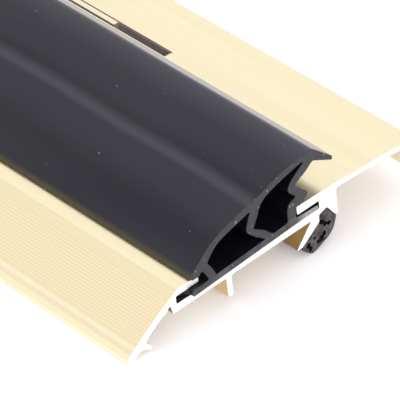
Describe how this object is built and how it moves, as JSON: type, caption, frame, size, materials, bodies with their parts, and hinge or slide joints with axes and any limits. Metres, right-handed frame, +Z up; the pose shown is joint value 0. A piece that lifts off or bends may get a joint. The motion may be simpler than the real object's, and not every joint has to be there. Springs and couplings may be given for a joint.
{
  "type": "threshold strip",
  "caption": "Aluminium door threshold strip with a ribbed outer ramp, a collapsing hollow rubber seal clipped in two grooves, and a smooth inner deck.",
  "frame": {"origin": "middle of the bounding box's base, at the underside of the bedding gasket; the metal feet are 4 mm above it", "axes": "+X along the strip, +Y from the outer toe to the inner edge (room side), +Z up out of the floor"},
  "size_m": [0.9168, 0.1016, 0.0324],
  "materials": {
    "gold_anodised": "pale gold anodised, satin",
    "seal_rubber": "matt black extruded rubber",
    "gasket_rubber": "matt black rough-cut rubber",
    "liner_plastic": "matt black",
    "bar_anodised": "pale gold anodised, satin"
  },
  "bodies": {
    "frame": {"threshold_extrusion": "gold_anodised", "seal_base": "seal_rubber", "seal_inner_rib": "seal_rubber", "seal_back_bellows": "seal_rubber", "base_gasket": "gasket_rubber", "slot_liner_a": "liner_plastic", "slot_liner_b": "liner_plastic"},
    "crown": {"seal_crown": "seal_rubber"},
    "bar_a": {"slot_bar_a": "bar_anodised"},
    "bar_b": {"slot_bar_b": "bar_anodised"}
  },
  "joints": [
    {"name": "seal_press", "type": "hinge", "parent": "frame", "child": "crown", "pos_m": [0, -0.0228, 0.0179], "axis": [-1, 0, 0], "range_deg": [0, 8], "stiffness_Nm_per_rad": 40, "deforming": ["seal_inner_rib", "seal_back_bellows"]},
    {"name": "bar_a_slide", "type": "slide", "parent": "frame", "child": "bar_a", "axis": [1, 0, 0], "range_m": [0, 0.0202]},
    {"name": "bar_b_slide", "type": "slide", "parent": "frame", "child": "bar_b", "axis": [-1, 0, 0], "range_m": [0, 0.0202]}
  ]
}
